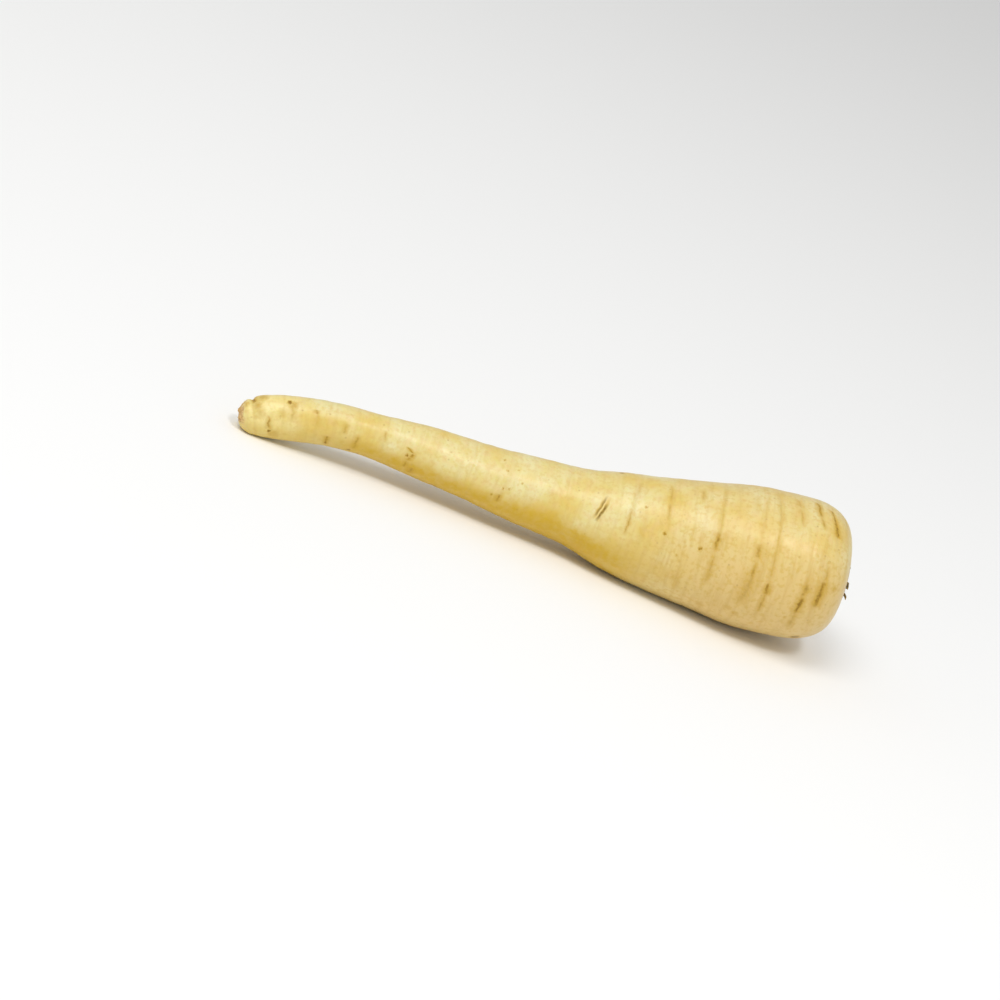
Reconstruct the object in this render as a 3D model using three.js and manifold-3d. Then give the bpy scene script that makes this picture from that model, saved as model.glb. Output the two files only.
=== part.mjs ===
// A parsnip, as picked and trimmed: one long creamy taproot with growth rings and scars, lying on its
// belly and its tail. Dry leaf bases stand in the hollow of the crown, round the cut green leaf stalks.
// Millimetres, +Z up, +X from the tail towards the crown.
//
// Every piece is first described by three values: along, the distance from the tip; around, the angle in
// degrees, 0 on top, 90 on the side that faces -Y and 180 underneath; and radius, the distance from the
// middle of the root. rootPoint() turns them into a point on the bent root.

import * as THREE from 'three';
import { mergeVertices } from 'three/addons/utils/BufferGeometryUtils.js';
import Module from 'manifold-3d';

// ---- Driving dimensions ----

const ROOT_LENGTH = 233.5;
const ROOT_SIDES = 40;

const SHOULDER_START = 208;
const SHOULDER_RADIUS = 27.5;
const SHOULDER_FULLNESS = 2.9;
const SHOULDER_LEVEL_RADIUS = 5;
const SHOULDER_ROWS = 9;

const HOLLOW_RADIUS = 10;
const HOLLOW_DEPTH = 6.5;
const RIM_ROUNDING = 1.7;
const TIP_LEAN = 0.12;
const TIP_LEAN_TOWARDS = 344;
const TIP_LEAN_END = 12;

// Radius of the snapped tip and of the body, as [along, radius].
const TIP = [[0, 0], [0, 1.9], [0.6, 3.6], [1.7, 5], [3, 6]];
const BODY = [
  [3.6, 6.3], [9, 7.3], [20, 8], [35, 8.3], [50, 8.4], [70, 10.2], [90, 11.4],
  [115, 13.3], [130, 14.8], [145, 18.5], [160, 21.1], [180, 24.8], [195, 27.4],
  [SHOULDER_START, SHOULDER_RADIUS],
];

// The middle line: its height and its sideways sway, as [along, offset].
const RISE = [
  [0, 4.8], [16, 10.1], [36, 14.7], [60, 16.3], [95, 17], [130, 18.7], [160, 21.4], [190, 26], [215, 30.2],
];
const SWAY = [[0, -8], [40, -4], [90, 0], [140, 1.2], [180, 0.6], [230, 0]];

// Growth rings, as distances along the root.
const RINGS = [
  5.2, 11, 18, 27, 31.5, 37, 42.5, 52, 63, 75.5, 86, 99, 110.5, 123, 136.5, 148, 161.5, 172, 181,
  195.5, 203, 210, 216, 222.5, 227.5,
];
const RING_DEPTH = 0.26;
const RING_HALF_WIDTH = 1.0;
const WANDER = 0.8;
const WANDER_LENGTH = 31;
const WANDER_STILL = 65;
const ROW_STEP = 4.6;

// Scars that run across the root, as [along at the first end, along at the other, from, to, depth].
const SCARS = [
  [5, 5.4, -24, 26, 0.35],
  [11.1, 10.9, 50, 103, 0.44],
  [17.2, 18.8, 22, 74, 0.5],
  [26.2, 27.4, 33, 66, 0.38],
  [31.6, 31.2, 102, 130, 0.38],
  [36.6, 36.9, 51, 91, 0.31],
  [42.5, 42.4, 76, 104, 0.31],
  [51.3, 52.1, 48, 102, 0.31],
  [62.2, 61.3, 68, 93, 0.31],
  [61.3, 64.6, 90, 131, 0.38],
  [99.8, 98.5, 82, 109, 0.19],
  [138.1, 135.1, 41, 79, 1.12],
  [148.1, 148, 14, 81, 0.44],
  [161.2, 161.9, 8, 62, 0.44],
  [170.1, 171.9, 97, 121, 0.25],
  [173.7, 173.8, 7, 32, 0.38],
  [181.1, 180.8, 27, 93, 0.62],
  [192.5, 193.4, 11, 34, 0.38],
  [196.6, 195.6, 55, 97, 0.56],
  [201, 203.1, -4, 44, 0.56],
  [203.1, 202.8, 38, 98, 0.62],
  [202.9, 201.1, 92, 122, 0.44],
  [208.6, 211, -4, 38, 0.44],
  [216, 218.9, -14, 34, 0.56],
  [216.8, 214.9, 64, 126, 0.62],
  [221.3, 225.8, -10, 54, 0.62],
  [222.9, 221.8, 56, 97, 0.56],
  [226.5, 228.6, -16, 14, 0.44],
];
const SCAR_HALF_WIDTH = 0.9;

// The far side has more of the same scars, drawn from a seeded rule.
const SCAR_SEED = 4711;
const SCARS_PER_RING = 2;
const FAR_SIDE = [165, 290];

// A knuckle on top of the tail, behind the fold where the tip was once pinched, as [along, height].
const KNUCKLE = [
  [3.2, 0], [4.4, -0.2], [5.1, -0.55], [5.8, 0.25], [6.8, 0.6], [12, 0.55], [19, 0.25], [26, 0],
];
const KNUCKLE_AROUND = 350;
const KNUCKLE_SPREAD = 48;

// How far the root is pressed flat where it lies: under the belly and under the tail.
const SINK = 0.45;
const BELLY = [165, 210];
const TAIL = [3, 25];

// Dry leaf bases: a trimmed stump of ring on ring, as [radius, height over the rim]. It stands clear of
// the hollow, and has a socket for the green stalks.
const GAP = 0.35;
const STUMP_SIDES = 30;
const STUMP = [
  [0, GAP - HOLLOW_DEPTH], [8.4, GAP - HOLLOW_DEPTH], [9, -5.2], [8.8, -3.4], [8.1, -3.2], [7.8, -4.3],
  [7.4, -4.3], [7.2, -1.6], [6.5, -1.4], [6.2, -2.6], [5.8, -2.6], [5.6, -0.2], [4.9, 0], [4.6, -1.2],
  [4.2, -3.6], [0, -3.6],
];
const STUMP_RAGGED = 0.45;

// Dry fibres: the strands of rotted leaf bases, which lean out towards the rim. The tuft on the side that
// faces -Y is thicker strands that curl over it, as [around, height over the rim, drift].
const FIBRES = 24;
const FIBRE_SEED = 97;
const FIBRE_ROOT = [7.0, -3.6];
const FIBRE_WIDTH = 1.1;
const FIBRE_THICKNESS = 0.75;
const FIBRE_TOP = [-1.2, 0.9];
const FIBRE_END = 0.3;
const TUFT = [[74, 1.0, 1.5], [89, 1.1, -1], [106, 1.5, 1]];
const TUFT_END = 1.35;

// Cut green leaf stalks: a ring of three curved stalks round a bud, on one common foot.
const STALK_FOOT = [[0, -3.25], [3.4, -3.25], [3.7, -2.4], [3.4, -1.4], [0, -1.4]];
const STALKS = [
  { around: 280, inner: 1.7, outer: 3.5, spread: 150, top: 0.5, lean: 0.9 },
  { around: 110, inner: 1.6, outer: 3.2, spread: 110, top: -0.2, lean: 0.6 },
  { around: 20, inner: 1.5, outer: 2.7, spread: 50, top: -0.6, lean: 0.4 },
];
const BUD = [[0, -2], [1.25, -2], [1.35, -0.8], [1.0, 0.3], [0.45, 0.9], [0, 1.0]];
const STALK_SIDES = 20;

// Points closer than this are one, and where pieces are fused, edges finer than the second are closed up.
const WELD = 5e-4;
const FINEST_EDGE = 0.03;

const SKIN_COLOUR = 0xe6d496;
const DRY_COLOUR = 0x6a4a2c;
const GREEN_COLOUR = 0xaab860;

// ---- Helpers ----

const radians = (degrees) => THREE.MathUtils.degToRad(degrees);

// A smooth curve through [x, y] points, straight beyond its two ends.
function smoothly(points, x) {
  const last = points.length - 1;
  const slope = (k) => {
    const [a, b] = [points[Math.max(k - 1, 0)], points[Math.min(k + 1, last)]];
    return (b[1] - a[1]) / (b[0] - a[0]);
  };
  if (x <= points[0][0]) return points[0][1] + (x - points[0][0]) * slope(0);
  if (x >= points[last][0]) return points[last][1] + (x - points[last][0]) * slope(last);
  const k = points.findIndex((point) => point[0] > x) - 1;
  const [[x0, y0], [x1, y1]] = [points[k], points[k + 1]];
  const span = x1 - x0;
  const t = (x - x0) / span;
  const s = 1 - t;
  return s * s * (1 + 2 * t) * y0 + t * t * (3 - 2 * t) * y1
    + span * (t * s * s * slope(k) - t * t * s * slope(k + 1));
}

// Numbers between low and high that are the same on every run.
function seeded(seed) {
  let state = seed;
  return (low, high) => {
    state = (state * 16807) % 2147483647;
    return low + (high - low) * state / 2147483647;
  };
}

// The signed difference of two angles, from -180 to 180.
const turn = (a, b) => ((a - b) % 360 + 540) % 360 - 180;

// ---- The bent root ----

function middle(along) {
  return new THREE.Vector3(along, smoothly(SWAY, along), smoothly(RISE, along));
}

function rootPoint(along, around, radius) {
  const forward = middle(along + 0.5).sub(middle(along - 0.5)).normalize();
  const side = new THREE.Vector3().crossVectors(forward, new THREE.Vector3(0, 0, 1)).normalize();
  const up = new THREE.Vector3().crossVectors(side, forward);
  return middle(along)
    .addScaledVector(up, radius * Math.cos(radians(around)))
    .addScaledVector(side, radius * Math.sin(radians(around)));
}

// ---- Surface of the taproot ----

function shoulderRadius(along) {
  const share = (along - SHOULDER_START) / (ROOT_LENGTH - SHOULDER_START);
  const fall = (1 - share ** SHOULDER_FULLNESS) ** (1 / SHOULDER_FULLNESS);
  return SHOULDER_LEVEL_RADIUS + (SHOULDER_RADIUS - SHOULDER_LEVEL_RADIUS) * fall;
}

function bodyRadius(along) {
  return along > SHOULDER_START ? shoulderRadius(along) : smoothly(BODY, along);
}

// Rows of the outline as [radius, along]. Each ring gets a row in its groove and one on each side of it.
function bodyRows() {
  const starts = [BODY[0][0]];
  for (const ring of RINGS) {
    starts.push(ring - RING_HALF_WIDTH, ring, ring + RING_HALF_WIDTH);
  }
  const rows = [];
  starts.forEach((start, k) => {
    const end = starts[k + 1] ?? start;
    const steps = Math.max(1, Math.round((end - start) / ROW_STEP));
    for (let n = 0; n < steps; n += 1) {
      const along = start + (end - start) * n / steps;
      rows.push([bodyRadius(along), along]);
    }
  });
  return rows;
}

function shoulderRows() {
  const last = RINGS.at(-1) + RING_HALF_WIDTH;
  const length = ROOT_LENGTH - SHOULDER_START;
  const from = Math.asin(((last - SHOULDER_START) / length) ** (SHOULDER_FULLNESS / 2));
  const level = HOLLOW_RADIUS + RIM_ROUNDING;
  const share = (level - SHOULDER_LEVEL_RADIUS) / (SHOULDER_RADIUS - SHOULDER_LEVEL_RADIUS);
  const to = Math.acos(share ** (SHOULDER_FULLNESS / 2));
  const rows = [];
  for (let n = 1; n <= SHOULDER_ROWS; n += 1) {
    const angle = from + (to - from) * n / SHOULDER_ROWS;
    const fall = Math.cos(angle) ** (2 / SHOULDER_FULLNESS);
    rows.push([
      SHOULDER_LEVEL_RADIUS + (SHOULDER_RADIUS - SHOULDER_LEVEL_RADIUS) * fall,
      SHOULDER_START + length * Math.sin(angle) ** (2 / SHOULDER_FULLNESS),
    ]);
  }
  return rows;
}

// Over the rounded rim, down the wall of the hollow and across its floor.
function hollowRows() {
  const rows = [];
  for (const angle of [30, 60, 90]) {
    rows.push([
      HOLLOW_RADIUS + RIM_ROUNDING * (1 - Math.sin(radians(angle))),
      ROOT_LENGTH - RIM_ROUNDING * (1 - Math.cos(radians(angle))),
    ]);
  }
  const floor = ROOT_LENGTH - HOLLOW_DEPTH;
  rows.push([HOLLOW_RADIUS - 0.1, floor + 2.5], [HOLLOW_RADIUS - 0.3, floor], [HOLLOW_RADIUS / 2, floor]);
  rows.push([0, floor]);
  return rows;
}

function allScars() {
  const draw = seeded(SCAR_SEED);
  const scars = [...SCARS];
  for (const ring of RINGS) {
    for (let n = 0; n < SCARS_PER_RING; n += 1) {
      const from = draw(...FAR_SIDE);
      const along = ring + draw(-0.5, 0.5);
      scars.push([along, along + draw(-0.5, 0.5), from, from + draw(18, 70), draw(0.2, 0.6)]);
    }
  }
  return scars;
}

const scars = allScars();

function scarDepth(along, around) {
  let depth = 0;
  for (const [first, second, from, to, deepest] of scars) {
    const half = (to - from) / 2;
    const share = turn(around, from + half) / half;
    if (Math.abs(share) >= 1) continue;
    const place = first + (second - first) * (share + 1) / 2;
    const across = (along - place) / SCAR_HALF_WIDTH;
    depth = Math.max(depth, deepest * (1 - share ** 4) * Math.exp(-across * across));
  }
  return depth;
}

function ringDepth(along, around) {
  let depth = 0;
  for (const ring of RINGS) {
    const across = (along - ring) / RING_HALF_WIDTH;
    const share = 0.6 + 0.4 * Math.sin(radians(2 * around + 50 * ring));
    depth = Math.max(depth, RING_DEPTH * share * Math.exp(-2 * across * across));
  }
  return depth;
}

// How far the skin stands over or under the plain outline.
function relief(along, around) {
  const angle = radians(around);
  const oval = 0.012 * Math.sin(2 * angle + along / 40) + 0.007 * Math.sin(3 * angle + along / 27);
  const lumps = 0.16 * Math.sin(along / 8 + 2 * Math.sin(angle)) + 0.2 * Math.sin(along / 19 - 2 * angle);
  const reach = turn(around, KNUCKLE_AROUND) / KNUCKLE_SPREAD;
  const inKnuckle = along > KNUCKLE[0][0] && along < KNUCKLE.at(-1)[0];
  const knuckle = inKnuckle ? smoothly(KNUCKLE, along) * Math.exp(-reach * reach) : 0;
  return oval * bodyRadius(along) + lumps + knuckle - ringDepth(along, around) - scarDepth(along, around);
}

// Growth rings aren't quite square to the root: each wanders a little as it goes round.
function wander(along, around, radius) {
  const swing = WANDER * Math.sin(along / WANDER_LENGTH) * (1 - Math.cos(radians(around - WANDER_STILL)));
  const nearTip = Math.max(0, 1 - along / TIP_LEAN_END);
  const lean = TIP_LEAN * nearTip * Math.cos(radians(around - TIP_LEAN_TOWARDS));
  return radius * (swing / SHOULDER_RADIUS - lean);
}

// ---- Closed meshes ----

// Merges points that lie together, and drops the triangles that then have no area.
function welded(geometry) {
  geometry.deleteAttribute('normal');
  geometry.deleteAttribute('uv');
  const merged = mergeVertices(geometry, WELD);
  const index = merged.index.array;
  const kept = [];
  for (let n = 0; n < index.length; n += 3) {
    const [a, b, c] = index.slice(n, n + 3);
    if (a !== b && b !== c && c !== a) kept.push(a, b, c);
  }
  merged.setIndex(kept);
  return merged;
}

// A turned body whose rows are [radius, along] and which place() then lays on the bent root.
function turned(rows, sides, place) {
  const profile = rows.map(([radius, along]) => new THREE.Vector2(radius, along));
  const geometry = welded(new THREE.LatheGeometry(profile, sides));
  const position = geometry.attributes.position;
  for (let n = 0; n < position.count; n += 1) {
    const x = position.getX(n);
    const z = position.getZ(n);
    const around = THREE.MathUtils.radToDeg(Math.atan2(x, z));
    const point = place(position.getY(n), around, Math.hypot(x, z));
    position.setXYZ(n, point.x, point.y, point.z);
  }
  return geometry;
}

// A closed body through rings of points, each with the same count and counter-clockwise from outside.
// One half of a ring faces the other half, and the end faces span the wall between them, so that they
// stay inside a curved wall.
function lofted(rings) {
  const count = rings[0].length;
  const points = rings.flat();
  const index = [];
  for (let r = 0; r + 1 < rings.length; r += 1) {
    for (let n = 0; n < count; n += 1) {
      const a = r * count + n;
      const b = r * count + (n + 1) % count;
      index.push(a, b, a + count, b, b + count, a + count);
    }
  }
  const top = (rings.length - 1) * count;
  for (let n = 0; n + 1 < count / 2; n += 1) {
    const facing = count - 1 - n;
    index.push(n, facing - 1, n + 1, n, facing, facing - 1);
    index.push(top + n, top + n + 1, top + facing - 1, top + n, top + facing - 1, top + facing);
  }
  const geometry = new THREE.BufferGeometry().setFromPoints(points);
  geometry.setIndex(index);
  return geometry;
}

const wasm = await Module();
wasm.setup();

function solid(geometry) {
  return new wasm.Manifold(new wasm.Mesh({
    numProp: 3,
    vertProperties: new Float32Array(geometry.attributes.position.array),
    triVerts: new Uint32Array(geometry.index.array),
  }));
}

// Keeps the outer skin, the one with the most triangles. A pocket that strands close off is filled.
function outerSkin(index, count) {
  const parent = Array.from({ length: count }, (_, n) => n);
  const find = (n) => {
    while (parent[n] !== n) {
      parent[n] = parent[parent[n]];
      n = parent[n];
    }
    return n;
  };
  for (let n = 0; n < index.length; n += 3) {
    parent[find(index[n])] = find(index[n + 1]);
    parent[find(index[n + 1])] = find(index[n + 2]);
  }
  const sizes = new Map();
  index.forEach((n) => sizes.set(find(n), (sizes.get(find(n)) ?? 0) + 1));
  const [largest] = [...sizes].reduce((best, next) => (next[1] > best[1] ? next : best));
  return index.filter((n) => find(n) === largest);
}

function fused(geometries) {
  const whole = geometries.map(solid).reduce((sum, next) => sum.add(next));
  const mesh = whole.asOriginal().simplify(FINEST_EDGE).getMesh();
  const geometry = new THREE.BufferGeometry();
  geometry.setAttribute('position', new THREE.BufferAttribute(new Float32Array(mesh.vertProperties), 3));
  geometry.setIndex(outerSkin([...mesh.triVerts], mesh.vertProperties.length / 3));
  return geometry;
}

// ---- The three pieces ----

function taproot() {
  const rows = [...TIP.map(([along, radius]) => [radius, along]), ...bodyRows(), ...shoulderRows()];
  const outside = rows.length;
  rows.push(...hollowRows());
  const rimAlong = rows[outside - 1][1];
  return turned(rows, ROOT_SIDES, (along, around, radius) => {
    const inside = radius <= HOLLOW_RADIUS + RIM_ROUNDING && along > ROOT_LENGTH / 2;
    if (radius === 0 || inside || along >= rimAlong) return rootPoint(along, around, radius);
    const fade = Math.min(1, (ROOT_LENGTH - along) / 3) * Math.min(1, along / 3);
    const wandered = along + fade * wander(along, around, radius);
    return rootPoint(wandered, around, radius + fade * relief(along, around));
  });
}

function overRim(height, around, radius) {
  return rootPoint(ROOT_LENGTH + height, around, radius);
}

function stump() {
  const draw = seeded(FIBRE_SEED);
  const phases = STUMP.map(() => draw(0, 360));
  return turned(STUMP, STUMP_SIDES, (height, around, radius) => {
    const row = STUMP.findIndex(([r, h]) => Math.abs(r - radius) < 0.01 && Math.abs(h - height) < 0.01);
    const crest = radius > 4.7 && height > -4;
    const broad = Math.sin(radians(5 * around + phases[row]));
    const ragged = broad + 0.6 * Math.sin(radians(9 * around + 40 * row));
    return overRim(height + (crest ? STUMP_RAGGED * ragged : 0), around, radius);
  });
}

// One flat strand that rises inside the hollow to the height top over the rim. The higher it reaches, the
// more it leans out. Its size goes from 1 at its foot to end at its top.
function fibre(around, top, drift, end) {
  const [root, foot] = FIBRE_ROOT;
  const lean = 0.2 + 1.2 * Math.max(0, top);
  const path = [
    [root, foot],
    [root + 0.7, THREE.MathUtils.lerp(foot, top, 0.45)],
    [root + 1.1, THREE.MathUtils.lerp(foot, top, 0.75)],
    [root + 1.3 + 0.4 * lean, THREE.MathUtils.lerp(foot, top, 0.92)],
    [root + 1.3 + lean, top],
  ];
  const rings = path.map(([radius, height], step) => {
    const size = 1 + (end - 1) * (step / (path.length - 1)) ** 2;
    const spread = THREE.MathUtils.radToDeg(FIBRE_WIDTH / 2 * size / radius);
    const angle = around + drift * step;
    const depth = FIBRE_THICKNESS / 2 * Math.max(size, 0.5);
    return [
      overRim(height, angle - spread, radius + depth),
      overRim(height, angle + spread, radius + depth),
      overRim(height, angle + spread, radius - depth),
      overRim(height, angle - spread, radius - depth),
    ];
  });
  return lofted(rings);
}

function dryLeafBases() {
  const draw = seeded(FIBRE_SEED);
  const parts = [stump()];
  for (let n = 0; n < FIBRES; n += 1) {
    const around = 360 * (n + draw(-0.3, 0.3)) / FIBRES;
    parts.push(fibre(around, draw(...FIBRE_TOP), draw(-2.5, 2.5), FIBRE_END));
  }
  TUFT.forEach(([around, top, drift]) => parts.push(fibre(around, top, drift, TUFT_END)));
  return fused(parts);
}

// A stalk is a curved wall, like part of a tube, that leans out and ends in a slanting cut.
function stalk({ around, inner, outer, spread, top, lean }) {
  const steps = 8;
  const foot = -2.2;
  const levels = [0, 0.5, 1];
  const rings = levels.map((share) => {
    const ring = [];
    for (const [radius, order] of [[outer, 1], [inner, -1]]) {
      for (let n = 0; n <= steps; n += 1) {
        const side = order * (n / steps - 0.5);
        const tall = foot + share * (top - foot) + share * 0.7 * Math.cos(radians(180 * side));
        const thin = radius === inner ? 0.5 * side * side : -0.5 * side * side;
        ring.push(overRim(tall, around + side * spread, radius + thin + share * lean));
      }
    }
    return ring;
  });
  return lofted(rings);
}

function greenLeafStalks() {
  const foot = turned(STALK_FOOT, STALK_SIDES, overRim);
  const bud = turned(BUD, STALK_SIDES, overRim);
  return fused([foot, bud, ...STALKS.map(stalk)]);
}

// ---- Laying the root down ----

function lowestBetween(position, [from, to]) {
  let lowest = null;
  for (let n = 0; n < position.count; n += 1) {
    const point = new THREE.Vector3().fromBufferAttribute(position, n);
    if (point.x > from && point.x < to && (!lowest || point.z < lowest.z)) lowest = point;
  }
  return lowest;
}

// Levels the pieces so that belly and tail lie on z = 0, pressed flat there by SINK, and centres them.
function layDown(pieces) {
  const root = pieces[0].attributes.position;
  const belly = lowestBetween(root, BELLY);
  const tail = lowestBetween(root, TAIL);
  const slope = (belly.z - tail.z) / (belly.x - tail.x);
  const box = new THREE.Box3();
  for (const piece of pieces) {
    const position = piece.attributes.position;
    for (let n = 0; n < position.count; n += 1) {
      const level = tail.z + slope * (position.getX(n) - tail.x) + SINK;
      position.setZ(n, Math.max(0, position.getZ(n) - level));
    }
    box.union(new THREE.Box3().setFromBufferAttribute(position));
  }
  const centre = box.getCenter(new THREE.Vector3());
  pieces.forEach((piece) => piece.translate(-centre.x, -centre.y, 0));
}

// ---- The finished parsnip ----

const group = new THREE.Group();
group.name = 'parsnip';

const finishes = {
  taproot: { color: SKIN_COLOUR, roughness: 0.5 },
  dry_leaf_bases: { color: DRY_COLOUR, roughness: 0.95 },
  green_leaf_stalks: { color: GREEN_COLOUR, roughness: 0.55 },
};

const pieces = [taproot(), dryLeafBases(), greenLeafStalks()];
layDown(pieces);

Object.entries(finishes).forEach(([name, finish], n) => {
  const mesh = new THREE.Mesh(welded(pieces[n]), new THREE.MeshStandardMaterial({ ...finish, metalness: 0 }));
  mesh.name = name;
  group.add(mesh);
});

export default group;
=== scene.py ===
# The looks of a parsnip, as picked, washed and trimmed: a long bent taproot with growth rings, scars and a
# gash, lying on its belly and its tail, with dry leaf bases and cut green stalks in the hollow of its crown.
#
# Lengths are millimetres and angles degrees, until a mesh is made. A place on the root is given by three
# values: along, the distance from the tip; around, 0 on top, 90 on the side that faces -Y and 180
# underneath; and radius, the distance from the middle of the root.

import math
from itertools import product

import bpy
import numpy as np
from mathutils import Matrix, Vector


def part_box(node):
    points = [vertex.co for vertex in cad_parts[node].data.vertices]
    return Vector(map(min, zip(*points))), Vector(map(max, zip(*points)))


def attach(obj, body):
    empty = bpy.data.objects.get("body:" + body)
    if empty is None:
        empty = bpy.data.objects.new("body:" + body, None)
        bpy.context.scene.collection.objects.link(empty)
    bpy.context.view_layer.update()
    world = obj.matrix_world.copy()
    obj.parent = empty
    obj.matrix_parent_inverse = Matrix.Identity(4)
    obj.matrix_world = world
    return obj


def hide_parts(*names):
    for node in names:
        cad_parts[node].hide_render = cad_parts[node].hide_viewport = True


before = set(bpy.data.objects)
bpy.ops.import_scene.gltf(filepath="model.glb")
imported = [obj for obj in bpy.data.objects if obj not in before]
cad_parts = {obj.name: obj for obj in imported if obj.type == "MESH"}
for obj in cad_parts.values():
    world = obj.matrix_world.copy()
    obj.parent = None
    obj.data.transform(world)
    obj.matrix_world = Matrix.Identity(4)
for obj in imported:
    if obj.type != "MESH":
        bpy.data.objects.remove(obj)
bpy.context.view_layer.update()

MM = 0.001

# ---- The root's form, as in its solid ----

ROOT_LENGTH = 233.5
SHOULDER_START = 208
SHOULDER_RADIUS = 27.5
SHOULDER_FULLNESS = 2.9
SHOULDER_LEVEL_RADIUS = 5
HOLLOW_RADIUS = 10
HOLLOW_DEPTH = 6.5
RIM_ROUNDING = 1.7

# Down the wall of the hollow and across its floor, as (radius, height over the floor).
HOLLOW_WALL = [
    (HOLLOW_RADIUS - 0.05, 3.6), (HOLLOW_RADIUS - 0.1, 2.5), (HOLLOW_RADIUS - 0.3, 0),
    (HOLLOW_RADIUS / 2, 0), (0, 0),
]

# The snapped end slants: on one side it reaches further by this share of its radius.
TIP_LEAN = 0.12
TIP_LEAN_TOWARDS = 344
TIP_LEAN_END = 12

# Radius of the snapped tip and of the body, as (along, radius).
TIP = [(0, 0), (0, 1.9), (0.6, 3.6), (1.7, 5), (3, 6), (3.6, 6.3)]
BODY = [
    (3.6, 6.3), (9, 7.3), (20, 8), (35, 8.3), (50, 8.4), (70, 10.2), (90, 11.4),
    (115, 13.3), (130, 14.8), (145, 18.5), (160, 21.1), (180, 24.8), (195, 27.4),
    (SHOULDER_START, SHOULDER_RADIUS),
]

# The middle line: its height and its sideways sway, as (along, offset).
RISE = [
    (0, 4.8), (16, 10.1), (36, 14.7), (60, 16.3), (95, 17), (130, 18.7), (160, 21.4), (190, 26), (215, 30.2),
]
SWAY = [(0, -8), (40, -4), (90, 0), (140, 1.2), (180, 0.6), (230, 0)]

# A knuckle on top of the tail, behind the fold where the tip was once pinched, as (along, height).
KNUCKLE = [(3.2, 0), (4.4, -0.2), (5.1, -0.55), (5.8, 0.25), (6.8, 0.6), (12, 0.55), (19, 0.25), (26, 0)]
KNUCKLE_AROUND = 350
KNUCKLE_SPREAD = 48

# How far the root is pressed flat where it lies: under the belly and under the tail.
SINK = 0.45
BELLY = (165, 210)
TAIL = (3, 25)

# ---- Rings and scars ----

RINGS = [
    5.2, 11, 18, 27, 31.5, 37, 42.5, 52, 63, 75.5, 86, 99, 110.5, 123, 136.5, 148, 161.5, 172, 181,
    195.5, 203, 210, 216, 222.5, 227.5,
]
SHOULDER_ROWS_START = RINGS[-1] + 1
RING_DEPTH = 0.12
RING_HALF_WIDTH = 0.8
WANDER = 0.8
WANDER_LENGTH = 31
WANDER_STILL = 65

# Scars across the root: (along at its two ends, around at its two ends, depth).
SCARS = [
    (5, 5.4, -24, 26, 0.35),
    (11.1, 10.9, 50, 103, 0.44),
    (17.2, 18.8, 22, 74, 0.5),
    (26.2, 27.4, 33, 66, 0.38),
    (31.6, 31.2, 102, 130, 0.38),
    (36.6, 36.9, 51, 91, 0.31),
    (42.5, 42.4, 76, 104, 0.31),
    (51.3, 52.1, 48, 102, 0.31),
    (62.2, 61.3, 68, 93, 0.31),
    (61.3, 64.6, 90, 131, 0.38),
    (99.8, 98.5, 82, 109, 0.19),
    (148.1, 148, 14, 81, 0.44),
    (161.2, 161.9, 8, 62, 0.44),
    (170.1, 171.9, 97, 121, 0.25),
    (173.7, 173.8, 7, 32, 0.38),
    (181.1, 180.8, 27, 93, 0.62),
    (192.5, 193.4, 11, 34, 0.38),
    (196.6, 195.6, 55, 97, 0.56),
    (201, 203.1, -4, 44, 0.56),
    (203.1, 202.8, 38, 98, 0.62),
    (202.9, 201.1, 92, 122, 0.44),
    (208.6, 211, -4, 38, 0.44),
    (216, 218.9, -14, 34, 0.56),
    (216.8, 214.9, 64, 126, 0.62),
    (221.3, 225.8, -10, 54, 0.62),
    (222.9, 221.8, 56, 97, 0.56),
    (226.5, 228.6, -16, 14, 0.44),
]
SCAR_HALF_WIDTH = 0.5
SCAR_REACH = 2.4
SCAR_DARKNESS = 0.22
# The solid's scars are wide enough for its rows. The real ones are narrower and not as deep.
SCAR_SHARE = 0.35

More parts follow.
